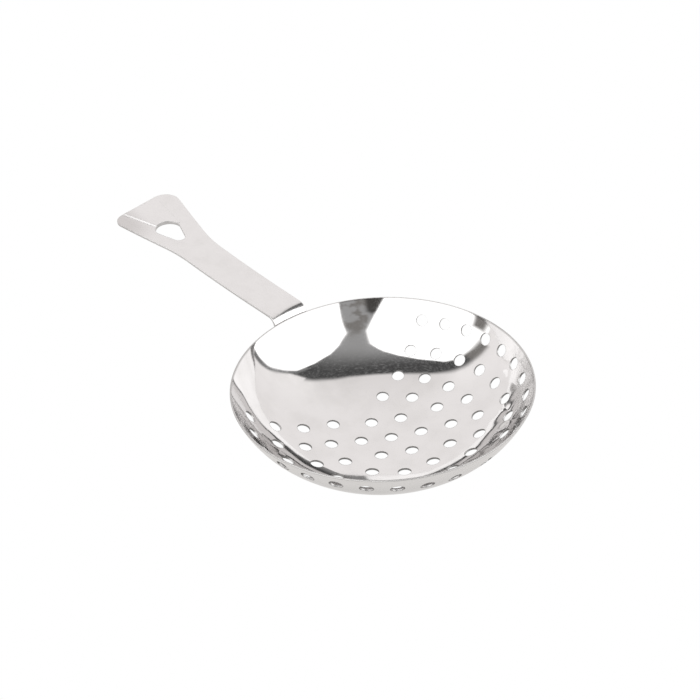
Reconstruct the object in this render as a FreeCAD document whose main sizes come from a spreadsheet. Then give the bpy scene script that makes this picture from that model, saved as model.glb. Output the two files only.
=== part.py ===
import FreeCAD, Part
import math
import os

import Sketcher
from FreeCAD import Placement, Rotation, Vector

# Julep strainer: a perforated bowl with a strap handle spot-welded to it.
# Millimetres. Everything is built about the bowl's lowest point, +Z is the
# bowl's axis and the handle leaves the rim along +X; the finished pieces are
# then slid along X until the origin is the bottom centre of the whole.

doc = FreeCAD.newDocument("strainer")

# --------------------------------------------------------------------------
# driving dimensions
# --------------------------------------------------------------------------
DIMENSIONS = {
    # bowl: a shallow domed floor that rolls tangentially into a rounder wall
    "bowl_sheet": 0.5,
    "floor_radius": 85.0,
    "wall_radius": 26.1,
    "floor_angle": 14.6,
    "rim_angle": 70.8,
    "rim_round": 0.2,
    # perforations
    "hole_diameter": 3.5,
    "pattern_back": 2.1,
    "pattern_side": -0.9,
    "outer_ring_back": 0.6,
    "near_run_back": 0.1,
    "near_run_side": 1.9,
    # handle: tab on the wall, bend above the rim, bowed strap, flared end
    "strap_thickness": 0.8,
    "strap_root_half": 5.5,
    "strap_neck_half": 6.2,
    "tab_length": 12.0,
    "rise_above_rim": 2.2,
    "bend_radius": 3.0,
    "bow_radius": 662.0,
    "bow_start": 52.0,
    "neck_reach": 83.0,
    "flare_radius": 62.0,
    "flare_angle": 11.8,
    "handle_reach": 122.1,
    "tip_skew": 12.0,
    "near_corner_radius": 4.2,
    "far_corner_radius": 5.0,
    "edge_round": 0.2,
    # hanging hole in the flare
    "hang_apex": 95.4,
    "hang_base": 107.9,
    "hang_shoulder": 103.6,
    "hang_half": 4.1,
    "hang_side": 0.75,
    "hang_apex_radius": 2.0,
    # raised thumb pad coined into the flare: it stands highest along its near
    # edge, which runs from the hole to the tip, and sinks to nothing on the far side
    "pad_root": 104.8,
    "pad_near_root": 2.1,
    "pad_far_root": 4.2,
    "pad_near_tip": 7.3,
    "pad_far_tip": 6.2,
    "pad_margin": 0.8,
    "pad_root_height": 0.35,
    "pad_tip_height": 0.55,
    "pad_wall_lean": 46.0,
    # spot welds between wall and tab
    "weld_diameter": 3.6,
    "weld_pitch": 6.1,
    "weld_depth": 0.3,
}

# working allowances that leave no mark on the finished pieces
ROOT_SWEEP = 26.0
OUTLINE_BACK = 28.0
OVERRUN = 8.0
BLANK_WIDTH = 60.0
BORDER_WIDTH = 68.0
PUNCH_LENGTH = 6.0

# The perforations lie in rings that open toward the handle. The outermost was
# punched in three runs, and the near one stands a little higher on the wall.
# run name, plan radius, step, turn of the whole run, first and last hole
# counted from the side opposite the handle, and the dimensions of its centre
PATTERN = ("pattern_back", "pattern_side")
OUTER = ("outer_ring_back", "pattern_side")
NEAR = ("near_run_back", "near_run_side")
RUNS = (
    ("centre", 0.0, 0.0, 0.0, 0, 0, PATTERN),
    ("first", 8.3, 60.0, 0.0, -2, 3, PATTERN),
    ("second", 16.6, 29.4, 0.0, -5, 5, PATTERN),
    ("third", 23.9, 19.1, 0.0, -7, 7, PATTERN),
    ("fourth", 31.2, 14.2, 0.0, -9, 9, PATTERN),
    ("outer_far", 36.6, 11.1, 0.0, 0, 11, OUTER),
    ("outer_near", 36.6, 11.45, 1.1, -7, -1, NEAR),
    ("outer_left", 36.6, 11.1, 0.0, -11, -8, OUTER),
)

sheet = doc.addObject("Spreadsheet::Sheet", "Dimensions")
for row, (alias, value) in enumerate(DIMENSIONS.items(), start=1):
    sheet.set(f"A{row}", alias)
    sheet.set(f"B{row}", str(value))
    sheet.setAlias(f"B{row}", alias)
doc.recompute()


def dim(alias):
    """Value of one driving dimension, read back from the sheet."""
    return float(getattr(sheet, alias))


# --------------------------------------------------------------------------
# bowl section, shared by the bowl, its perforations, the tab and the welds
# --------------------------------------------------------------------------
SHEET = dim("bowl_sheet")
STRAP = dim("strap_thickness")
FLOOR_ANGLE = math.radians(dim("floor_angle"))
RIM_ANGLE = math.radians(dim("rim_angle"))
FLOOR_CENTRE = Vector(0, 0, SHEET + dim("floor_radius"))


def radial(angle, length):
    """Vector of a length leaving an arc centre, angle from straight down."""
    return Vector(length * math.sin(angle), 0, -length * math.cos(angle))


WALL_CENTRE = FLOOR_CENTRE + radial(FLOOR_ANGLE, dim("floor_radius") - dim("wall_radius"))
WALL_OUTER = dim("wall_radius") + SHEET


def surface_angle(radius):
    """Slope angle of the mid sheet at a plan radius."""
    floor_mid = dim("floor_radius") + SHEET / 2
    if radius <= floor_mid * math.sin(FLOOR_ANGLE):
        return math.asin(radius / floor_mid)
    return math.asin((radius - WALL_CENTRE.x) / (dim("wall_radius") + SHEET / 2))


def surface_height(radius):
    """Height of the mid sheet at a plan radius."""
    angle = surface_angle(radius)
    if angle <= FLOOR_ANGLE:
        return FLOOR_CENTRE.z - (dim("floor_radius") + SHEET / 2) * math.cos(angle)
    return WALL_CENTRE.z - (dim("wall_radius") + SHEET / 2) * math.cos(angle)


# --------------------------------------------------------------------------
# sketch helpers
# --------------------------------------------------------------------------
def new_body(name):
    """Empty body with the given label."""
    body = doc.addObject("PartDesign::Body", name.capitalize() + "Body")
    body.Label = name
    return body


def new_sketch(body, plane_role, name):
    """Sketch in a body, lying flat on one of that body's origin planes."""
    sketch = body.newObject("Sketcher::SketchObject", name)
    plane = next(f for f in body.Origin.OriginFeatures if f.Role == plane_role)
    sketch.AttachmentSupport = [(plane, "")]
    sketch.MapMode = "FlatFace"
    return sketch


def flat(point):
    """Point of the XZ section as sketch coordinates."""
    return Vector(point.x, point.z, 0)


def line(start, end):
    return Part.LineSegment(start, end)


def arc(centre, radius, start_angle, end_angle):
    """Counter-clockwise arc, angles in radians from the sketch's x axis."""
    circle = Part.Circle(centre, Vector(0, 0, 1), radius)
    return Part.ArcOfCircle(circle, start_angle, end_angle)


def down_arc(centre, radius, start_angle, end_angle):
    """Section arc whose angles are counted from straight down."""
    quarter = math.pi / 2
    return arc(flat(centre), radius, start_angle - quarter, end_angle - quarter)


def chain(sketch, links):
    """Tie (geometry, end) pairs together with coincident constraints."""
    for (first, first_end), (second, second_end) in links:
        sketch.addConstraint(
            Sketcher.Constraint("Coincident", first, first_end, second, second_end))


def bind(sketch, kind, geometry, value, name, expression):
    """Add a dimensional constraint and drive it from the sheet."""
    index = sketch.addConstraint(Sketcher.Constraint(kind, *geometry, value))
    sketch.renameConstraint(index, name)
    sketch.setExpression(f"Constraints.{name}", expression)


START, END, CENTRE = 1, 2, 3


def add_profile(sketch, pieces):
    """Add curves that follow each other in a closed loop and join their ends."""
    count = len(pieces)
    ends = []
    for curve in pieces:
        ends.append((sketch.addGeometry(curve, False), curve.StartPoint, curve.EndPoint))
    links = []
    for place in range(count):
        index, start, end = ends[place]
        after, after_start, after_end = ends[(place + 1) % count]
        pairs = (
            (END, end, START, after_start),
            (END, end, END, after_end),
            (START, start, START, after_start),
            (START, start, END, after_end),
        )
        mine, _, theirs, _ = min(pairs, key=lambda p: (p[1] - p[3]).Length)
        links.append(((index, mine), (after, theirs)))
    chain(sketch, links)
    return [entry[0] for entry in ends]


# --------------------------------------------------------------------------
# bowl blank: revolved sheet section with softened rim edges
# --------------------------------------------------------------------------
def build_bowl_blank():
    body = new_body("bowl_blank")
    sketch = new_sketch(body, "XZ_Plane", "BowlSection")
    floor_inner = dim("floor_radius")
    floor_outer = floor_inner + SHEET
    wall_inner = dim("wall_radius")
    inner_rim = WALL_CENTRE + radial(RIM_ANGLE, wall_inner)
    outer_rim = WALL_CENTRE + radial(RIM_ANGLE, WALL_OUTER)
    loop = add_profile(sketch, [
        down_arc(FLOOR_CENTRE, floor_inner, 0, FLOOR_ANGLE),
        down_arc(WALL_CENTRE, wall_inner, FLOOR_ANGLE, RIM_ANGLE),
        line(flat(inner_rim), flat(outer_rim)),
        down_arc(WALL_CENTRE, WALL_OUTER, FLOOR_ANGLE, RIM_ANGLE),
        down_arc(FLOOR_CENTRE, floor_outer, 0, FLOOR_ANGLE),
        line(Vector(0, 0, 0), Vector(0, SHEET, 0)),
    ])
    floor_in, wall_in, _, wall_out, floor_out, axis = loop
    origin = (-1, 1)
    sketch.addConstraint(Sketcher.Constraint("Coincident", axis, START, *origin))
    sketch.addConstraint(Sketcher.Constraint("Vertical", axis))
    sketch.addConstraint(Sketcher.Constraint("PointOnObject", floor_in, CENTRE, -2))
    sketch.addConstraint(Sketcher.Constraint("Coincident", floor_in, CENTRE, floor_out, CENTRE))
    sketch.addConstraint(Sketcher.Constraint("Coincident", wall_in, CENTRE, wall_out, CENTRE))
    bind(sketch, "Distance", (axis,), SHEET, "sheet", "Dimensions.bowl_sheet")
    bind(sketch, "Radius", (floor_in,), floor_inner, "floor", "Dimensions.floor_radius")
    bind(sketch, "Radius", (wall_in,), wall_inner, "wall", "Dimensions.wall_radius")
    doc.recompute()

    revolve = body.newObject("PartDesign::Revolution", "BowlRevolve")
    revolve.Profile = sketch
    revolve.ReferenceAxis = (sketch, ["V_Axis"])
    revolve.Angle = 360
    doc.recompute()

    rim_edges = [
        f"Edge{number}"
        for number, edge in enumerate(revolve.Shape.Edges, start=1)
        if edge.BoundBox.ZMin > 0.9 * outer_rim.z and edge.BoundBox.ZLength < SHEET / 10
    ]
    rounding = body.newObject("PartDesign::Fillet", "RimRound")
    rounding.Base = (revolve, rim_edges)
    rounding.setExpression("Radius", "Dimensions.rim_round")
    sketch.Visibility = False
    doc.recompute()
    return body


def punch_positions():
    """Plan position of every perforation, run by run."""
    for name, radius, step, phase, first, last, (back, side) in RUNS:
        for index in range(first, last + 1):
            turn = math.pi + math.radians(step * index + phase)
            x = radius * math.cos(turn) - dim(back)
            yield name, Vector(x, radius * math.sin(turn) + dim(side), 0)


def build_punches():
    """One cylinder per perforation, each square to the sheet where it lands."""
    punches = []
    for number, (run, plan) in enumerate(punch_positions(), start=1):
        radius = plan.Length
        heading = math.degrees(math.atan2(plan.y, plan.x))
        slope = math.degrees(surface_angle(radius))
        turn = Rotation(Vector(0, 0, 1), heading) * Rotation(Vector(0, 1, 0), -slope)
        seat = Vector(plan.x, plan.y, surface_height(radius))
        punch = doc.addObject("Part::Cylinder", f"Punch_{run}_{number}")
        punch.setExpression("Radius", "Dimensions.hole_diameter / 2")
        punch.Height = PUNCH_LENGTH
        punch.Placement = Placement(seat - turn.multVec(Vector(0, 0, PUNCH_LENGTH / 2)), turn)
        punches.append(punch)
    return punches


# --------------------------------------------------------------------------
# handle
# --------------------------------------------------------------------------
def root_points():
    """Key points of the tab and bend section, top face first."""
    outer_rim = WALL_CENTRE + radial(RIM_ANGLE, WALL_OUTER)
    rise = Vector(math.cos(RIM_ANGLE), 0, math.sin(RIM_ANGLE))
    outward = radial(RIM_ANGLE, 1)
    bend = dim("bend_radius")
    top = outer_rim.z + dim("rise_above_rim")
    straight = (top - outer_rim.z - bend * (1 + outward.z)) / rise.z
    bend_start = outer_rim + rise * straight
    bend_centre = bend_start + outward * bend
    return outer_rim, bend_start, bend_centre, top, rise, outward


def build_root(body):
    """Tab, bend and first flat of the strap, revolved about the bowl's axis."""
    sketch = new_sketch(body, "XZ_Plane", "RootSection")
    outer_rim, bend_start, bend_centre, top, rise, outward = root_points()
    bend = dim("bend_radius")
    tab_start = RIM_ANGLE - dim("tab_length") / (WALL_OUTER + STRAP / 2)
    low_inner = WALL_CENTRE + radial(tab_start, WALL_OUTER)
    low_outer = WALL_CENTRE + radial(tab_start, WALL_OUTER + STRAP)
    back_of_rim = outer_rim + outward * STRAP
    back_of_bend = bend_start + outward * STRAP
    end_x = dim("bow_start")
    lean = math.pi - (math.pi / 2 - RIM_ANGLE)
    loop = add_profile(sketch, [
        down_arc(WALL_CENTRE, WALL_OUTER, tab_start, RIM_ANGLE),
        line(flat(outer_rim), flat(bend_start)),
        arc(flat(bend_centre), bend, math.pi / 2, lean),
        line(Vector(bend_centre.x, top, 0), Vector(end_x, top, 0)),
        line(Vector(end_x, top, 0), Vector(end_x, top - STRAP, 0)),
        line(Vector(end_x, top - STRAP, 0), Vector(bend_centre.x, top - STRAP, 0)),
        arc(flat(bend_centre), bend - STRAP, math.pi / 2, lean),
        line(flat(back_of_bend), flat(back_of_rim)),
        down_arc(WALL_CENTRE, WALL_OUTER + STRAP, tab_start, RIM_ANGLE),
        line(flat(low_outer), flat(low_inner)),
    ])
    bind(sketch, "Radius", (loop[2],), bend, "bend", "Dimensions.bend_radius")
    bind(sketch, "Distance", (loop[4],), STRAP, "thickness", "Dimensions.strap_thickness")
    doc.recompute()
    root = body.newObject("PartDesign::Revolution", "RootRevolve")
    root.Profile = sketch
    root.ReferenceAxis = (sketch, ["V_Axis"])
    root.Angle = ROOT_SWEEP
    root.Midplane = True
    sketch.Visibility = False
    doc.recompute()


def build_strap(body):
    """Bowed strap, padded wide enough to cut the plan outline from."""
    top = root_points()[3]
    bow_start = dim("bow_start")
    start = bow_start - STRAP
    reach = dim("handle_reach") + OVERRUN
    bow = dim("bow_radius")
    sweep = math.asin((reach - bow_start) / bow)
    centre = Vector(bow_start, top + bow, 0)
    half_pi = math.pi / 2
    top_arc = arc(centre, bow, -half_pi, -half_pi + sweep)
    low_arc = arc(centre, bow + STRAP, -half_pi, -half_pi + sweep)
    sketch = new_sketch(body, "XZ_Plane", "StrapSection")
    loop = add_profile(sketch, [
        line(Vector(start, top, 0), Vector(bow_start, top, 0)),
        top_arc,
        line(top_arc.EndPoint, low_arc.EndPoint),
        low_arc,
        line(Vector(bow_start, top - STRAP, 0), Vector(start, top - STRAP, 0)),
        line(Vector(start, top - STRAP, 0), Vector(start, top, 0)),
    ])
    bind(sketch, "Radius", (loop[1],), bow, "bow", "Dimensions.bow_radius")
    bind(sketch, "Distance", (loop[5],), STRAP, "thickness", "Dimensions.strap_thickness")
    doc.recompute()
    strap = body.newObject("PartDesign::Pad", "StrapPad")
    strap.Profile = sketch
    strap.Length = BLANK_WIDTH
    strap.Midplane = True
    sketch.Visibility = False
    doc.recompute()


def minor_arc(centre, first, last):
    """Shorter arc between two points about a centre, always counter-clockwise."""
    one, two = first - centre, last - centre
    if one.cross(two).z < 0:
        one, two = two, one
    return arc(centre, one.Length, math.atan2(one.y, one.x), math.atan2(two.y, two.x))


def rounded(before, corner, after, radius):
    """Round a corner: tangent points on both legs and the arc between them."""
    one = (before - corner).normalize()
    two = (after - corner).normalize()
    half = one.getAngle(two) / 2
    first = corner + one * (radius / math.tan(half))
    last = corner + two * (radius / math.tan(half))
    centre = corner + (one + two).normalize() * (radius / math.sin(half))
    return first, minor_arc(centre, first, last), last


def flare_side(sign):
    """Points and neck arc of one side of the outline, root to tip corner."""
    neck_x = dim("neck_reach")
    neck_y = dim("strap_neck_half")
    flare = math.radians(dim("flare_angle"))
    radius = dim("flare_radius")
    skew = math.tan(math.radians(dim("tip_skew")))
    start_x = neck_x + radius * math.sin(flare)
    start_y = neck_y + radius * (1 - math.cos(flare))
    # the tip line is x = reach - skew * y; the flare line climbs at the flare angle
    slope = math.tan(flare)
    corner_x = (dim("handle_reach") - sign * skew * (start_y - slope * start_x)) / (
        1 + sign * skew * slope)
    corner_y = start_y + slope * (corner_x - start_x)
    root = Vector(OUTLINE_BACK, sign * dim("strap_root_half"), 0)
    neck = Vector(neck_x, sign * neck_y, 0)
    start = Vector(start_x, sign * start_y, 0)
    corner = Vector(corner_x, sign * corner_y, 0)
    centre = Vector(neck_x, sign * (neck_y + radius), 0)
    return root, neck, minor_arc(centre, neck, start), start, corner


def build_outline(body):
    """Trim the strap and tab to the plan outline, everything outside goes."""
    near_root, near_neck, near_arc, near_start, near_corner = flare_side(1)
    far_root, far_neck, far_arc, far_start, far_corner = flare_side(-1)
    near_in, near_round, near_out = rounded(
        near_start, near_corner, far_corner, dim("near_corner_radius"))
    far_in, far_round, far_out = rounded(
        near_corner, far_corner, far_start, dim("far_corner_radius"))
    sketch = new_sketch(body, "XY_Plane", "Outline")
    loop = add_profile(sketch, [
        line(near_root, near_neck),
        near_arc,
        line(near_start, near_in),
        near_round,
        line(near_out, far_in),
        far_round,
        line(far_out, far_start),
        far_arc,
        line(far_neck, far_root),
        line(far_root, near_root),
    ])
    bind(sketch, "Radius", (loop[1],), near_arc.Radius, "near_neck", "Dimensions.flare_radius")
    bind(sketch, "Radius", (loop[7],), far_arc.Radius, "far_neck", "Dimensions.flare_radius")
    bind(sketch, "Radius", (loop[3],), near_round.Radius, "near_corner",
         "Dimensions.near_corner_radius")
    bind(sketch, "Radius", (loop[5],), far_round.Radius, "far_corner",
         "Dimensions.far_corner_radius")
    bind(sketch, "Distance", (loop[9],), 2 * dim("strap_root_half"), "root_width",
         "Dimensions.strap_root_half * 2")
    back, front = OUTLINE_BACK - OVERRUN, dim("handle_reach") + 2 * OVERRUN
    side = BORDER_WIDTH / 2
    border = [
        Vector(back, -side, 0),
        Vector(front, -side, 0),
        Vector(front, side, 0),
        Vector(back, side, 0),
    ]
    add_profile(sketch, [line(a, b) for a, b in zip(border, border[1:] + border[:1])])
    doc.recompute()
    cut = body.newObject("PartDesign::Pocket", "OutlineCut")
    cut.Profile = sketch
    cut.Type = "ThroughAll"
    cut.Midplane = True
    sketch.Visibility = False
    doc.recompute()


def build_edge_round(body):
    """Soften the long edges left where the outline cut meets the faces."""
    cut = body.Tip
    shape = cut.Shape
    wall_edges = []
    for face in shape.Faces:
        low_u, high_u, low_v, high_v = face.ParameterRange
        normal = face.normalAt((low_u + high_u) / 2, (low_v + high_v) / 2)
        if abs(normal.z) < 0.01:
            wall_edges.extend(face.Edges)
    names = [
        f"Edge{number}"
        for number, edge in enumerate(shape.Edges, start=1)
        if sum(edge.isSame(other) for other in wall_edges) == 1
    ]
    rounding = body.newObject("PartDesign::Fillet", "EdgeRound")
    rounding.Base = (cut, names)
    rounding.setExpression("Radius", "Dimensions.edge_round")
    doc.recompute()


def build_hang_hole(body):
    """Rounded triangle through the flare, its point toward the bowl."""
    half = dim("hang_half")
    shoulder = dim("hang_shoulder")
    side = dim("hang_side")
    apex_radius = dim("hang_apex_radius")
    apex_centre = Vector(dim("hang_apex") + apex_radius, side, 0)
    base = dim("hang_base")
    depth = base - shoulder
    # base arc through both shoulders and the farthest point
    base_radius = (half**2 + depth**2) / (2 * depth)
    base_centre = Vector(base - base_radius, side, 0)
    base_angle = math.atan2(half, shoulder - base_centre.x)
    # flanks run from the shoulders tangentially onto the apex round
    corner = Vector(shoulder, side + half, 0)
    reach = corner - apex_centre
    lean = math.atan2(reach.y, reach.x) + math.acos(apex_radius / reach.Length)
    touch = apex_centre + Vector(math.cos(lean), math.sin(lean), 0) * apex_radius
    sketch = new_sketch(body, "XY_Plane", "HangHole")
    loop = add_profile(sketch, [
        arc(base_centre, base_radius, -base_angle, base_angle),
        line(corner, touch),
        arc(apex_centre, apex_radius, lean, 2 * math.pi - lean),
        line(Vector(touch.x, 2 * side - touch.y, 0), Vector(shoulder, side - half, 0)),
    ])
    bind(sketch, "Radius", (loop[2],), apex_radius, "apex", "Dimensions.hang_apex_radius")
    doc.recompute()
    cut = body.newObject("PartDesign::Pocket", "HangHoleCut")
    cut.Profile = sketch
    cut.Type = "ThroughAll"
    cut.Midplane = True
    sketch.Visibility = False
    doc.recompute()


def bow_height(x):
    """Height of the strap's top face at a distance along the handle."""
    return root_points()[3] + max(x - dim("bow_start"), 0) ** 2 / (2 * dim("bow_radius"))


def build_thumb_pad(body):
    """Raised pad on the flare: a slab lying on a plane through three of its corners."""
    skew = math.tan(math.radians(dim("tip_skew")))
    tip = dim("handle_reach") - dim("pad_margin")

    def corner(x, y, height):
        return Vector(x, y, bow_height(x) + height)

    near_tip = dim("pad_near_tip")
    far_tip = -dim("pad_far_tip")
    root = dim("pad_root")
    near_start = corner(root, dim("pad_near_root"), dim("pad_root_height"))
    near_end = corner(tip - skew * near_tip, near_tip, dim("pad_tip_height"))
    far_end = corner(tip - skew * far_tip, far_tip, 0)
    upright = (near_end - near_start).cross(far_end - near_start).normalize()
    if upright.z < 0:
        upright = -upright
    far_y = -dim("pad_far_root")
    fall = upright.x * (root - near_start.x) + upright.y * (far_y - near_start.y)
    far_start = Vector(root, far_y, near_start.z - fall / upright.z)
    seat = Placement(near_start, Rotation(Vector(0, 0, 1), upright))
    sketch = new_sketch(body, "XY_Plane", "ThumbPad")
    sketch.AttachmentOffset = seat
    local = seat.inverse()
    corners = [local.multVec(point) for point in (near_start, near_end, far_end, far_start)]
    add_profile(sketch, [line(a, b) for a, b in zip(corners, corners[1:] + corners[:1])])
    doc.recompute()
    pad = body.newObject("PartDesign::Pad", "ThumbPadRaise")
    pad.Profile = sketch
    pad.setExpression("Length", "Dimensions.pad_tip_height + Dimensions.edge_round")
    pad.Reversed = True
    pad.TaperAngle = dim("pad_wall_lean")
    sketch.Visibility = False
    doc.recompute()


def weld_cylinders(name):
    """Two weld nuggets through the joint of wall and tab, as one shape."""
    middle = RIM_ANGLE - dim("tab_length") / 2 / WALL_OUTER
    apart = dim("weld_pitch") / 2 / WALL_OUTER
    depth = dim("weld_depth")
    shapes = []
    for angle in (middle - apart, middle + apart):
        direction = radial(angle, 1)
        start = WALL_CENTRE + radial(angle, WALL_OUTER - depth)
        shapes.append(Part.makeCylinder(dim("weld_diameter") / 2, 2 * depth, start, direction))
    feature = doc.addObject("Part::Feature", name)
    feature.Shape = Part.makeCompound(shapes)
    return feature


def cut_tools(label, base, tools):
    """Boolean cut of one or more tools from a base, under a given label."""
    tool = tools[0]
    if len(tools) > 1:
        tool = doc.addObject("Part::Compound", label.capitalize() + "Tools")
        tool.Links = tools
    cut = doc.addObject("Part::Cut", label.capitalize() + "Cut")
    cut.Base = base
    cut.Tool = tool
    cut.Label = label
    doc.recompute()
    return cut


# --------------------------------------------------------------------------
# build the three pieces
# --------------------------------------------------------------------------
blank = build_bowl_blank()
bowl = cut_tools("bowl", blank, build_punches() + [weld_cylinders("BowlWeldSeats")])

strap = new_body("handle_blank")
build_root(strap)
build_strap(strap)
build_outline(strap)
build_edge_round(strap)
build_thumb_pad(strap)
build_hang_hole(strap)
handle = cut_tools("handle", strap, [weld_cylinders("TabWeldSeats")])

welds = weld_cylinders("SpotWelds")
welds.Label = "spot_welds"
doc.recompute()

# the stored origin is the bottom centre of the whole strainer
nodes = (bowl, handle, welds)
boxes = [node.Shape.optimalBoundingBox(True, False) for node in nodes]
middle = (min(box.XMin for box in boxes) + max(box.XMax for box in boxes)) / 2
for node in nodes:
    node.Placement = Placement(Vector(-middle, 0, 0), Rotation())
doc.recompute()
print(f"shifted by {-middle:.3f} mm along X")

# --------------------------------------------------------------------------
# check and export
# --------------------------------------------------------------------------
for item in doc.Objects:
    if "Invalid" in item.State or "Error" in item.State:
        raise RuntimeError(f"{item.Label} did not build: {item.State}")

os.makedirs("parts", exist_ok=True)
for node in nodes:
    shape = node.Shape
    if shape.isNull() or not shape.isValid():
        raise RuntimeError(f"{node.Label} has no valid shape")
    shape.exportStep(f"parts/{node.Label}.step")
    box = shape.optimalBoundingBox(True, False)
    print(f"{node.Label}: {len(shape.Solids)} solid(s), {shape.Volume:.1f} mm3,"
          f" x {box.XMin:.2f}..{box.XMax:.2f} y {box.YMin:.2f}..{box.YMax:.2f}"
          f" z {box.ZMin:.2f}..{box.ZMax:.2f}")
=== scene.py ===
import math

import bmesh
import bpy
from mathutils import Matrix, Vector


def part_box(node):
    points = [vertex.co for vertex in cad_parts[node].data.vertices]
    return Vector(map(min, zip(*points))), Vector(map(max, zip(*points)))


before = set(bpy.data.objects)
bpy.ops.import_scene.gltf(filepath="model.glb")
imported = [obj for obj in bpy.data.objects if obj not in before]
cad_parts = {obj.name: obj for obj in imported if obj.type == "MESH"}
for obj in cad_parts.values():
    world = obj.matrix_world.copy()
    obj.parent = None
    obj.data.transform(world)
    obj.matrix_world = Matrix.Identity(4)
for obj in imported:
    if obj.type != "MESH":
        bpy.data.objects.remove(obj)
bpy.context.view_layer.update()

MM = 0.001

# --------------------------------------------------------------------------
# places, all worked out from the CAD frame
# --------------------------------------------------------------------------
BOWL_LOW, BOWL_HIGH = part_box("bowl")
HANDLE_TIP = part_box("handle")[1].x
BOWL_CENTRE = (BOWL_LOW + BOWL_HIGH) / 2
BOWL_BOTTOM = Vector((BOWL_CENTRE.x, BOWL_CENTRE.y, BOWL_LOW.z))
RIM_CENTRE = Vector((BOWL_CENTRE.x, BOWL_CENTRE.y, BOWL_HIGH.z))


# --------------------------------------------------------------------------
# shader node helpers
# --------------------------------------------------------------------------
class Nodes:
    """Thin wrapper that adds nodes to a tree and links them as they are made."""

    def __init__(self, tree):
        self.tree = tree
        tree.nodes.clear()

    def add(self, kind, inputs=None, **settings):
        node = self.tree.nodes.new(kind)
        for name, value in settings.items():
            setattr(node, name, value)
        for name, value in (inputs or {}).items():
            self.feed(node.inputs[name], value)
        return node

    def feed(self, socket, value):
        if isinstance(value, bpy.types.NodeSocket):
            self.tree.links.new(value, socket)
        else:
            socket.default_value = value

    def math(self, operation, first, second=0.0):
        node = self.add("ShaderNodeMath", operation=operation)
        self.feed(node.inputs[0], first)
        self.feed(node.inputs[1], second)
        return node.outputs[0]

    def times(self, first, second):
        return self.math("MULTIPLY", first, second)

    def vector_node(self, operation, first, second):
        node = self.add("ShaderNodeVectorMath", operation=operation)
        self.feed(node.inputs[0], first)
        self.feed(node.inputs[1], second)
        return node

    def vector(self, operation, first, second=(0.0, 0.0, 0.0)):
        return self.vector_node(operation, first, second).outputs["Vector"]

    def dot(self, first, second):
        return self.vector_node("DOT_PRODUCT", first, second).outputs["Value"]

    def scale(self, value, factor):
        node = self.add("ShaderNodeVectorMath", {0: value, "Scale": factor}, operation="SCALE")
        return node.outputs["Vector"]

    def length(self, value):
        node = self.add("ShaderNodeVectorMath", {0: value}, operation="LENGTH")
        return node.outputs["Value"]

    def split(self, value):
        node = self.add("ShaderNodeSeparateXYZ", {"Vector": value})
        return node.outputs["X"], node.outputs["Y"], node.outputs["Z"]

    def join(self, x, y, z):
        return self.add("ShaderNodeCombineXYZ", {"X": x, "Y": y, "Z": z}).outputs["Vector"]

    def noise(self, place, size, detail=2.0, rough=0.5, stretch=(1.0, 1.0, 1.0)):
        """Noise of about 0 to 1 whose blotches are one size across, before the stretch."""
        drawn = self.vector("DIVIDE", place, tuple(size * part for part in stretch))
        node = self.add(
            "ShaderNodeTexNoise",
            {"Vector": drawn, "Scale": 1.0, "Detail": detail, "Roughness": rough},
        )
        return node.outputs["Fac"]

    def bump(self, height, depth, normal):
        """Normal of a surface that a height of 0 to 1 lifts by up to the depth in metres."""
        node = self.add(
            "ShaderNodeBump",
            {"Strength": 1.0, "Distance": depth, "Height": height, "Normal": normal},
        )
        return node.outputs["Normal"]

    def smooth(self, value, low, high, to_low=0.0, to_high=1.0):
        """Eases from to_low to to_high while the value goes from low to high."""
        node = self.add(
            "ShaderNodeMapRange",
            {"Value": value, "From Min": low, "From Max": high,
             "To Min": to_low, "To Max": to_high},
            interpolation_type="SMOOTHSTEP",
        )
        return node.outputs["Result"]

    def mix(self, factor, first, second):
        """Mix of two colours: the second at a factor of 1."""
        node = self.add("ShaderNodeMix", data_type="RGBA")
        self.feed(node.inputs["Factor"], factor)
        self.feed(node.inputs[6], first)
        self.feed(node.inputs[7], second)
        return node.outputs[2]

    def blend(self, factor, first, second):
        """Mix of two vectors: the second at a factor of 1."""
        node = self.add("ShaderNodeMix", data_type="VECTOR")
        self.feed(node.inputs["Factor"], factor)
        self.feed(node.inputs[4], first)
        self.feed(node.inputs[5], second)
        return node.outputs[1]


def new_material(name):
    material = bpy.data.materials.new(name)
    material.use_nodes = True
    return material, Nodes(material.node_tree)


def grey(value, warmth=0.0):
    """Neutral colour, a little warmer for a positive warmth."""
    return (value * (1 + warmth), value, value * (1 - warmth), 1.0)


# --------------------------------------------------------------------------
# studio: what the polished steel reflects
# --------------------------------------------------------------------------
# Directions are (azimuth, elevation) in degrees, seen from the bowl. Half of the
# surroundings is a dim room and the other half is a pale backdrop. The panels in
# front of them are two soft boxes, a flag beside the left one, a return that
# carries the backdrop on past the room's edge, and three dark objects.
ROOM_MIDDLE = (144, 14)
RIGHT_SOFTBOX = (
    (52, -20), (50, 56), (64, 70), (96, 76), (132, 74), (155, 62), (154, 46), (140, 15),
    (126, -20),
)
LEFT_SOFTBOX = (
    (169, -20), (172, 44), (188, 54), (206, 57), (226, 53), (240, 43), (245, 20), (247, -20),
)
LEFT_FLAG = ((234, 53), (243, 45), (250, 2), (238, 2))
BACKDROP_RETURN = ((243, -20), (243, 30), (246, 44), (251, 51), (262, 46), (272, -20))
DARK_STAND = ((54, -7), (55, 9), (65, 11), (66, -7))
DARK_DOOR = ((136, 5), (138, 22), (146, 26), (150, 22), (150, 5))
DARK_SCREEN = ((45, 16), (44, 36), (52, 40), (54, 16))
PANEL_EDGE = 0.03
FLAG_EDGE = 0.04
DARK_EDGE = 0.08

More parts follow.
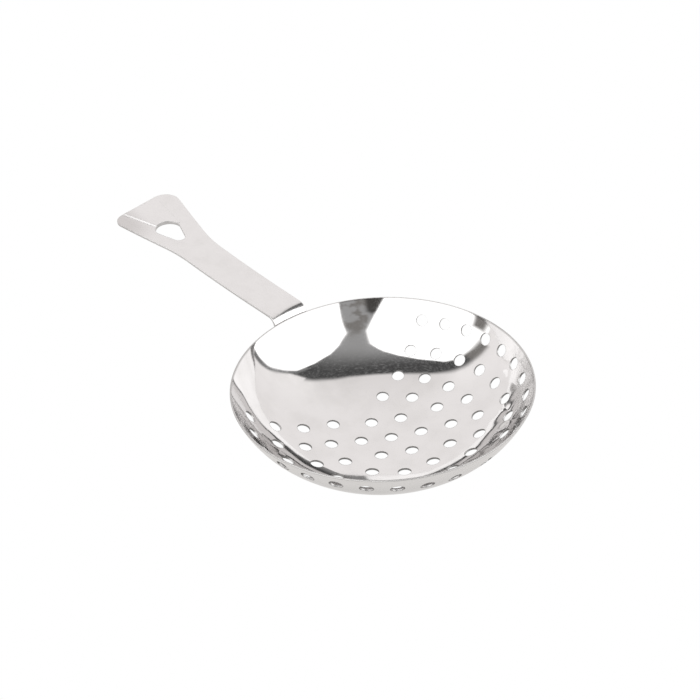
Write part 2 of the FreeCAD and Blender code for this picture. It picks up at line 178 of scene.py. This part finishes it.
# tones
BACKDROP = (1.170, 1.140, 1.132, 1.0)
BACKDROP_BY_ROOM = (1.25, 1.22, 1.21, 1.0)
BACKDROP_ABOVE = (1.03, 1.00, 0.99, 1.0)
ROOM_DARK = 0.08
ROOM_DIM = 0.46
ROOM_BLOTCH = 0.26
ROOM_WARMTH = 0.05
SOFTBOX = 2.1

# Where each change starts and ends, by how far a direction points into the room:
# 1 is the room's middle, 0 is square to it and -1 is the middle of the backdrop.
ROOM_STARTS = (-0.06, 0.03)
ROOM_BRIGHTENS = (0.13, 0.66)
CLUTTER_STARTS = (0.70, 0.86)
BACKDROP_NEARS_ROOM = (-0.45, -0.05)
# by how far a direction points up, where 1 is straight up
OVERHEAD = (0.75, 0.95)

# blotches on the room's walls, sized as parts of a unit ball round the bowl, with
# the noise values between which each one fades in
CLUTTER_SIZE = 0.16
CLUTTER_FROM = (0.46, 0.60)
SPECKLE_SIZE = 0.022
SPECKLE_FROM = (0.45, 0.75)
SPECKLE_STRENGTH = (0.0, 0.5)


def toward(azimuth, elevation):
    azimuth, elevation = math.radians(azimuth), math.radians(elevation)
    flat = math.cos(elevation)
    return Vector((math.cos(azimuth) * flat, math.sin(azimuth) * flat, math.sin(elevation)))


def panel_mask(nodes, direction, corners, soft):
    """1 inside a panel whose corners are seen in the given directions, 0 outside.

    The corners go round a convex outline.
    """
    rays = [toward(*corner) for corner in corners]
    middle = sum(rays, Vector())
    mask = None
    for ray, following in zip(rays, rays[1:] + rays[:1]):
        side = ray.cross(following).normalized()
        if side.dot(middle) < 0:
            side = -side
        edge = nodes.smooth(nodes.dot(direction, side), -soft / 2, soft / 2)
        mask = edge if mask is None else nodes.math("MINIMUM", mask, edge)
    return mask


def room_colour(nodes, direction, depth):
    """The dim room: blotched in its middle and lightly speckled all over."""
    room = nodes.mix(nodes.smooth(depth, *ROOM_BRIGHTENS), grey(ROOM_DARK), grey(ROOM_DIM))
    clutter = nodes.smooth(nodes.noise(direction, CLUTTER_SIZE), *CLUTTER_FROM)
    clutter = nodes.times(clutter, nodes.smooth(depth, *CLUTTER_STARTS))
    room = nodes.mix(clutter, room, grey(ROOM_BLOTCH, ROOM_WARMTH))
    speckle = nodes.noise(direction, SPECKLE_SIZE)
    speckle = nodes.smooth(speckle, *SPECKLE_FROM, *SPECKLE_STRENGTH)
    return nodes.mix(speckle, room, grey(ROOM_DIM))


def backdrop_colour(nodes, direction, depth):
    """The pale backdrop: brighter beside the room and dimmer overhead."""
    colour = nodes.mix(nodes.smooth(depth, *BACKDROP_NEARS_ROOM), BACKDROP, BACKDROP_BY_ROOM)
    upward = nodes.split(direction)[2]
    return nodes.mix(nodes.smooth(upward, *OVERHEAD), colour, BACKDROP_ABOVE)


def build_world():
    world = bpy.data.worlds.new("studio")
    world.use_nodes = True
    nodes = Nodes(world.node_tree)
    direction = nodes.add("ShaderNodeTexCoord").outputs["Generated"]
    depth = nodes.dot(direction, toward(*ROOM_MIDDLE))
    room = room_colour(nodes, direction, depth)
    backdrop = backdrop_colour(nodes, direction, depth)
    colour = nodes.mix(nodes.smooth(depth, *ROOM_STARTS), backdrop, room)
    # a panel hides the ones before it
    for corners, soft, tone in (
        (BACKDROP_RETURN, PANEL_EDGE, backdrop),
        (LEFT_FLAG, FLAG_EDGE, grey(ROOM_BLOTCH)),
        (DARK_DOOR, DARK_EDGE, grey(ROOM_DARK, ROOM_WARMTH)),
        (RIGHT_SOFTBOX, PANEL_EDGE, grey(SOFTBOX)),
        (LEFT_SOFTBOX, PANEL_EDGE, grey(SOFTBOX)),
        (DARK_STAND, DARK_EDGE, grey(ROOM_BLOTCH, ROOM_WARMTH)),
        (DARK_SCREEN, DARK_EDGE, grey(ROOM_BLOTCH, ROOM_WARMTH)),
    ):
        colour = nodes.mix(panel_mask(nodes, direction, corners, soft), colour, tone)
    background = nodes.add("ShaderNodeBackground", {"Color": colour, "Strength": 1.0})
    nodes.add("ShaderNodeOutputWorld", {"Surface": background.outputs["Background"]})
    bpy.context.scene.world = world


# --------------------------------------------------------------------------
# floor and backdrop: white for the camera, and a floor for the steel with a painted shadow
# below the bowl
# --------------------------------------------------------------------------
WHITE = 1.0
# tone of the painted shadow right below the bowl
TABLE_PAINTED_SHADOW = 0.74
TABLE_SEEN_IN_STEEL = 0.95
TABLE_WARMTH = 0.02
# distances from the bowl's bottom over which the painted shadow fades out
TABLE_SHADOW_FADES = (15 * MM, 110 * MM)
TABLE_DROP = 0.05 * MM
TABLE_REACH = 3.0
DOME_RADIUS = 6.0


def glowing(name, tone, painted_shadow_tone=None):
    """A plain lit surface, with a painted shadow that makes it dimmer below the bowl if a
    second tone is given.
    """
    material, nodes = new_material(name)
    colour = grey(tone)
    if painted_shadow_tone is not None:
        # painted shadow: dimmer close below the bowl, fading out away from it
        place = nodes.add("ShaderNodeTexCoord").outputs["Object"]
        away = nodes.length(nodes.vector("SUBTRACT", place, tuple(BOWL_BOTTOM)))
        clear = nodes.smooth(away, *TABLE_SHADOW_FADES)
        colour = nodes.mix(clear, grey(painted_shadow_tone, TABLE_WARMTH), grey(tone, TABLE_WARMTH))
    light = nodes.add("ShaderNodeEmission", {"Color": colour, "Strength": 1.0})
    nodes.add("ShaderNodeOutputMaterial", {"Surface": light.outputs["Emission"]})
    return material


def stage_piece(name, mesh, material):
    mesh.materials.append(material)
    piece = bpy.data.objects.new(name, mesh)
    bpy.context.scene.collection.objects.link(piece)
    return piece


def stage_square(name, material, height, reach):
    mesh = bpy.data.meshes.new(name)
    corners = [(x * reach, y * reach, height) for x, y in ((-1, -1), (1, -1), (1, 1), (-1, 1))]
    mesh.from_pydata(corners, [], [(0, 1, 2, 3)])
    return stage_piece(name, mesh, material)


def stage_dome(name, material, radius):
    mesh = bpy.data.meshes.new(name)
    shape = bmesh.new()
    bmesh.ops.create_uvsphere(shape, u_segments=48, v_segments=24, radius=radius)
    shape.to_mesh(mesh)
    shape.free()
    return stage_piece(name, mesh, material)


def show_only(piece, camera):
    """Keeps a stage piece for the camera, or for what the steel reflects."""
    piece.visible_camera = camera
    for ray in ("diffuse", "glossy", "transmission", "volume_scatter", "shadow"):
        setattr(piece, "visible_" + ray, not camera)


def build_stage():
    table = BOWL_LOW.z - TABLE_DROP
    white = glowing("white", WHITE)
    shadowed_table = glowing("table_with_painted_shadow", TABLE_SEEN_IN_STEEL, TABLE_PAINTED_SHADOW)
    show_only(stage_square("floor", white, table, TABLE_REACH), camera=True)
    show_only(stage_dome("backdrop", white, DOME_RADIUS), camera=True)
    show_only(stage_square("floor_tone", shadowed_table, table, TABLE_REACH), camera=False)


# --------------------------------------------------------------------------
# camera
# --------------------------------------------------------------------------
# angles in degrees, and the lens and its sensor in real millimetres as Blender
# wants them
CAMERA_AZIMUTH = -37.8
CAMERA_PITCH = 35.1
CAMERA_ROLL = -3.24
CAMERA_DISTANCE = 279.9 * MM
CAMERA_LENS = 54.87
CAMERA_SENSOR = 36.0
CAMERA_CLIP = 5 * MM
AIM_FROM_RIM_CENTRE = Vector((8.4, 3.48, 6.44)) * MM


def build_camera():
    roll = math.radians(CAMERA_ROLL)
    forward = toward(CAMERA_AZIMUTH, -CAMERA_PITCH)
    level = forward.cross(Vector((0, 0, 1))).normalized()
    upright = level.cross(forward)
    right = level * math.cos(roll) + upright * math.sin(roll)
    up = upright * math.cos(roll) - level * math.sin(roll)
    data = bpy.data.cameras.new("camera")
    data.lens = CAMERA_LENS
    data.sensor_width = CAMERA_SENSOR
    data.clip_start = CAMERA_CLIP
    camera = bpy.data.objects.new("camera", data)
    turn = Matrix((right, up, -forward)).transposed().to_4x4()
    place = RIM_CENTRE + AIM_FROM_RIM_CENTRE - forward * CAMERA_DISTANCE
    camera.matrix_world = Matrix.Translation(place) @ turn
    bpy.context.scene.collection.objects.link(camera)
    bpy.context.scene.camera = camera


# --------------------------------------------------------------------------
# steel, both finishes
# --------------------------------------------------------------------------
STEEL = (0.665, 0.655, 0.653, 1.0)
DULL_STEEL = (0.62, 0.61, 0.605, 1.0)
BRIGHT_STEEL = (0.79, 0.78, 0.775, 1.0)
# painted shade for one margin of the strap near its tip
TIP_MARGIN_SHADE_STEEL = (0.53, 0.515, 0.51, 1.0)
# painted shade on the cut walls
CUT_WALL_SHADE_STEEL = (0.24, 0.235, 0.23, 1.0)
# painted shade along every edge
EDGE_SHADE_STEEL = (0.20, 0.195, 0.19, 1.0)
SHEARED_ROUGHNESS = 0.42
# cosine of the turn from the flat normal to the rolled one: at an edge, and clear
# of it
EDGE_TURN = (0.80, 0.985)
EDGE_SAMPLES = 6


def edge_roll_and_shade(nodes, geometry, width):
    """Normal rolled over at every edge, and a mask for painted edge shade: 1 right at an edge
    fading to 0 beside it.
    """
    bevel = nodes.add("ShaderNodeBevel", {"Radius": width}, samples=EDGE_SAMPLES)
    rolled = bevel.outputs["Normal"]
    turn = nodes.dot(rolled, geometry.outputs["True Normal"])
    return rolled, nodes.smooth(turn, *EDGE_TURN, 1.0, 0.0)


def finish_steel(nodes, colour, roughness, normal):
    """Ends a steel material with its shader and output."""
    steel = nodes.add(
        "ShaderNodeBsdfPrincipled",
        {"Base Color": colour, "Metallic": 1.0, "Roughness": roughness, "Normal": normal},
    )
    nodes.add("ShaderNodeOutputMaterial", {"Surface": steel.outputs["BSDF"]})


# --------------------------------------------------------------------------
# polished steel of the bowl
# --------------------------------------------------------------------------
# The bowl is a shallow dome that rolls into a rounder wall: halfway through its
# thickness, the sheet follows a ball about the axis and then a ring.
DOME_CENTRE = Vector((BOWL_CENTRE.x, BOWL_CENTRE.y, 85.5 * MM))
DOME_EDGE = 21.5 * MM
RING_RADIUS = 14.85 * MM
RING_HEIGHT = 28.5 * MM
# cosine between the ideal sheet's normal and the surface's own, on a cut wall and
# on the skin
SKIN_TURN = (0.75, 0.92)

# The wall is shaded differently in two places: dented and brighter on the
# perforated side, and tilted beside the handle. Each place has the azimuth of its
# middle, and the cosines from it between which it fades in.
PUNCHED_SIDE = 160
PUNCHED_SPREAD = (-0.25, 0.15)
PUNCHED_RADII = (26 * MM, 33 * MM)
TILTED_SIDE = 25
TILTED_SPREAD = (0.70, 0.92)
TILTED_HEIGHTS = (BOWL_HIGH.z - 6 * MM, BOWL_HIGH.z)
TILT_AT_RIM = 0.09

# relief
WAVE_SIZE = 9 * MM
WAVE_DEPTH = 0.05 * MM
DENT_SIZE = 6 * MM
DENT_DEPTH = 0.30 * MM
FACET_SIZES = (6.5 * MM, 6.5 * MM, 4 * MM)
FACET_TILT = 0.12
WANDER_PER_METRE = 220.0
WANDER_REACH = 3 * MM
BOWL_EDGE_ROLL = 0.32 * MM
BOWL_EDGE_SHARE = 0.6

# roughness and tone, where BOWL_MARKS are the noise values between which the
# roughness goes from its lowest to its highest
MARK_SIZE = 0.35 * MM
MARK_STRETCH = (1.0, 1.0, 4.0)
HAZE_SIZE = 9 * MM
BOWL_MARKS = (0.7, 1.35)
BOWL_ROUGHNESS = (0.035, 0.10)
HAZE_DULLS = (0.35, 0.75)
BRIGHT_HEIGHTS = (BOWL_HIGH.z - 9 * MM, BOWL_HIGH.z - 2 * MM)
BRIGHT_ROUGHNESS = 0.26
# painted shade on the cut walls, lighter as they face up, and a painted grey line along the top
# of the rim
CUT_FACES_UP = (0.2, 0.6)
CUT_WALL_SHADE = (1.0, 0.35)
RIM_HEIGHTS = (BOWL_HIGH.z - 0.45 * MM, BOWL_HIGH.z - 0.15 * MM)
RIM_LINE_SHADE = (0.0, 0.5)


def on_side(nodes, outward, azimuth, spread):
    """1 on the azimuth's side of the bowl's axis, fading to 0 over the spread."""
    heading = nodes.vector("NORMALIZE", outward)
    return nodes.smooth(nodes.dot(heading, toward(azimuth, 0)), *spread)


def stamped_sheet(nodes, place, outward, height, geometry):
    """Normal of the ideal sheet, 1 on a cut wall, and 1 on the bowl's inside."""
    away = nodes.scale(nodes.vector("NORMALIZE", outward), RING_RADIUS)
    ring = nodes.vector("ADD", away, (BOWL_CENTRE.x, BOWL_CENTRE.y, RING_HEIGHT))
    on_wall = nodes.math("GREATER_THAN", nodes.length(outward), DOME_EDGE)
    centre = nodes.blend(on_wall, tuple(DOME_CENTRE), ring)
    inward = nodes.vector("NORMALIZE", nodes.vector("SUBTRACT", centre, place))
    facing = nodes.dot(inward, geometry.outputs["True Normal"])
    side = nodes.math("SIGN", facing)
    sheared = nodes.smooth(nodes.math("ABSOLUTE", facing), *SKIN_TURN, 1.0, 0.0)

    # beside the handle the wall is shaded as if it were less steep at the rim
    tilted = nodes.times(
        nodes.smooth(height, *TILTED_HEIGHTS),
        on_side(nodes, outward, TILTED_SIDE, TILTED_SPREAD),
    )
    lift = nodes.join(0.0, 0.0, nodes.times(nodes.times(tilted, side), TILT_AT_RIM))
    sheet = nodes.vector("NORMALIZE", nodes.vector("ADD", nodes.scale(inward, side), lift))
    normal = nodes.blend(sheared, sheet, geometry.outputs["Normal"])
    return normal, sheared, nodes.math("GREATER_THAN", facing, 0.0)


def bowl_relief(nodes, place, dented, normal):
    """Slow waves all over, with dents and facets where the wall is dented."""
    waves = nodes.noise(place, WAVE_SIZE, detail=1.0)
    dents = nodes.noise(place, DENT_SIZE, detail=0.5)
    normal = nodes.bump(waves, WAVE_DEPTH, normal)
    normal = nodes.bump(nodes.times(dents, dented), DENT_DEPTH, normal)
    wander = nodes.add(
        "ShaderNodeTexNoise",
        {"Vector": place, "Scale": WANDER_PER_METRE, "Detail": 1.0},
    )
    wandered = nodes.vector("ADD", place, nodes.scale(wander.outputs["Color"], WANDER_REACH))
    cells = nodes.add(
        "ShaderNodeTexVoronoi",
        {"Vector": nodes.vector("DIVIDE", wandered, FACET_SIZES), "Scale": 1.0},
        feature="F1",
    )
    facet = nodes.vector("SUBTRACT", cells.outputs["Color"], (0.5, 0.5, 0.5))
    facet = nodes.scale(facet, nodes.times(dented, FACET_TILT))
    return nodes.vector("NORMALIZE", nodes.vector("ADD", normal, facet))


def polished_steel():
    material, nodes = new_material("polished_steel_look")
    place = nodes.add("ShaderNodeTexCoord").outputs["Object"]
    geometry = nodes.add("ShaderNodeNewGeometry")
    x, y, _ = nodes.split(nodes.vector("SUBTRACT", place, tuple(BOWL_CENTRE)))
    outward = nodes.join(x, y, 0.0)
    height = nodes.split(place)[2]
    normal, sheared, inside = stamped_sheet(nodes, place, outward, height, geometry)
    punched = nodes.times(
        nodes.smooth(nodes.length(outward), *PUNCHED_RADII),
        on_side(nodes, outward, PUNCHED_SIDE, PUNCHED_SPREAD),
    )
    rolled, edge = edge_roll_and_shade(nodes, geometry, BOWL_EDGE_ROLL)
    normal = nodes.blend(nodes.times(edge, BOWL_EDGE_SHARE), normal, rolled)
    normal = bowl_relief(nodes, place, nodes.times(punched, inside), normal)

    marks = nodes.noise(place, MARK_SIZE, detail=3.0, rough=0.6, stretch=MARK_STRETCH)
    haze = nodes.noise(place, HAZE_SIZE, detail=3.0, rough=0.6)
    bright = nodes.times(nodes.smooth(height, *BRIGHT_HEIGHTS), punched)
    roughness = nodes.smooth(nodes.math("ADD", marks, haze), *BOWL_MARKS, *BOWL_ROUGHNESS)
    roughness = nodes.math("ADD", roughness, nodes.times(bright, BRIGHT_ROUGHNESS))
    roughness = nodes.math("MAXIMUM", roughness, nodes.times(sheared, SHEARED_ROUGHNESS))

    colour = nodes.mix(nodes.smooth(haze, *HAZE_DULLS), STEEL, DULL_STEEL)
    colour = nodes.mix(bright, colour, BRIGHT_STEEL)
    # painted shade along every edge
    colour = nodes.mix(edge, colour, EDGE_SHADE_STEEL)
    # painted shade: a cut wall is darkened, less where it faces up, and the top of the rim is
    # darkened into a painted grey line
    upward = nodes.split(geometry.outputs["True Normal"])[2]
    cut = nodes.times(sheared, nodes.smooth(upward, *CUT_FACES_UP, *CUT_WALL_SHADE))
    rim = nodes.smooth(height, *RIM_HEIGHTS, *RIM_LINE_SHADE)
    colour = nodes.mix(nodes.math("MAXIMUM", cut, rim), colour, CUT_WALL_SHADE_STEEL)
    finish_steel(nodes, colour, roughness, normal)
    return material


# --------------------------------------------------------------------------
# satin steel of the handle and its welds
# --------------------------------------------------------------------------
# Where the bend at the root ends and the flat strap starts, along the handle.
STRAP_FLAT_FROM = (BOWL_HIGH.x + 4 * MM, BOWL_HIGH.x + 5 * MM)
# A face of the flat strap is a cut wall where it faces up less than the first
# number, and a face of the bend where it faces sideways more than the second.
STRAP_SKIN_TURN = (0.35, 0.6)
BEND_CUT_TURN = (0.5, 0.75)
# A face of the flat strap that leans, as the crease's does, is rougher than one
# that faces straight up.
CREASE_TURN = (0.85, 0.95)
CREASE_ROUGHNESS = (0.40, 0.0)

# relief, with the grain drawn out along the strap
STRAP_EDGE_ROLL = 0.35 * MM
GRAIN_SIZE = 0.16 * MM
GRAIN_STRETCH = (45.0, 1.0, 1.0)
GRAIN_DEPTH = 0.0022 * MM
SWEEP_SIZE = 2.2 * MM
SWEEP_STRETCH = (7.0, 1.0, 1.0)
SWEEP_DEPTH = 0.035 * MM
LEAN_ACROSS = (-5.5 * MM, 4 * MM)
LEAN_TILT = (0.13, -0.02)

# roughness and tone, where STRAP_MARKS are the noise values between which the
# roughness goes from its lowest to its highest
CLOUD_SIZE = 6 * MM
STRAP_MARKS = (0.6, 1.4)
STRAP_ROUGHNESS = (0.13, 0.24)
WORN_GRAIN = 0.5
WORN_FROM = (0.65, 1.15)
# where one margin of the strap near its tip gets painted shade, along and across the strap
TIP_SHADE_ALONG = (HANDLE_TIP - 23.8 * MM, HANDLE_TIP - 9.8 * MM)
TIP_SHADE_ACROSS = (2 * MM, 9 * MM)
# how much of the painted edge shade the strap gets
STRAP_EDGE_SHADE = 0.25
# how much painted shade the strap's cut walls get
STRAP_CUT_WALL_SHADE = 0.35


def satin_steel():
    material, nodes = new_material("satin_steel_look")
    place = nodes.add("ShaderNodeTexCoord").outputs["Object"]
    geometry = nodes.add("ShaderNodeNewGeometry")
    along, across, _ = nodes.split(place)
    _, sideways, upward = nodes.split(geometry.outputs["True Normal"])
    sideways = nodes.math("ABSOLUTE", sideways)
    upward = nodes.math("ABSOLUTE", upward)

    # the cut walls stand square to the flat strap, and face sideways at the bend
    strap = nodes.smooth(along, *STRAP_FLAT_FROM)
    bend = nodes.math("SUBTRACT", 1.0, strap)
    sheared = nodes.math(
        "ADD",
        nodes.times(nodes.smooth(upward, *STRAP_SKIN_TURN, 1.0, 0.0), strap),
        nodes.times(nodes.smooth(sideways, *BEND_CUT_TURN), bend),
    )

    # across the bend the normal leans gradually to one side
    rolled, edge = edge_roll_and_shade(nodes, geometry, STRAP_EDGE_ROLL)
    lean = nodes.times(nodes.smooth(across, *LEAN_ACROSS, *LEAN_TILT), bend)
    normal = nodes.vector("NORMALIZE", nodes.vector("ADD", rolled, nodes.join(0.0, lean, 0.0)))
    grain = nodes.noise(place, GRAIN_SIZE, detail=3.0, rough=0.65, stretch=GRAIN_STRETCH)
    sweep = nodes.noise(place, SWEEP_SIZE, detail=2.5, stretch=SWEEP_STRETCH)
    normal = nodes.bump(sweep, SWEEP_DEPTH, normal)
    normal = nodes.bump(grain, GRAIN_DEPTH, normal)

    cloud = nodes.noise(place, CLOUD_SIZE, detail=4.0, rough=0.6)
    roughness = nodes.smooth(nodes.math("ADD", grain, cloud), *STRAP_MARKS, *STRAP_ROUGHNESS)
    roughness = nodes.math("MAXIMUM", roughness, nodes.times(sheared, SHEARED_ROUGHNESS))
    creased = nodes.times(nodes.smooth(upward, *CREASE_TURN, *CREASE_ROUGHNESS), strap)
    roughness = nodes.math("MAXIMUM", roughness, creased)

    worn = nodes.smooth(nodes.math("ADD", cloud, nodes.times(grain, WORN_GRAIN)), *WORN_FROM)
    # painted shade along one margin of the strap near its tip
    tip_margin_shade = nodes.times(nodes.smooth(across, *TIP_SHADE_ACROSS), nodes.smooth(along, *TIP_SHADE_ALONG))
    colour = nodes.mix(worn, STEEL, DULL_STEEL)
    colour = nodes.mix(tip_margin_shade, colour, TIP_MARGIN_SHADE_STEEL)
    # painted shade along every edge
    colour = nodes.mix(nodes.times(edge, STRAP_EDGE_SHADE), colour, EDGE_SHADE_STEEL)
    # painted shade on the cut walls
    colour = nodes.mix(nodes.times(sheared, STRAP_CUT_WALL_SHADE), colour, CUT_WALL_SHADE_STEEL)
    finish_steel(nodes, colour, roughness, normal)
    return material


def dress(node, material):
    """Give a CAD node a finish."""
    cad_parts[node].data.materials[0] = material


build_world()
build_stage()
build_camera()
dress("bowl", polished_steel())
satin = satin_steel()
dress("handle", satin)
dress("spot_welds", satin)

bpy.context.scene.view_settings.view_transform = "Standard"
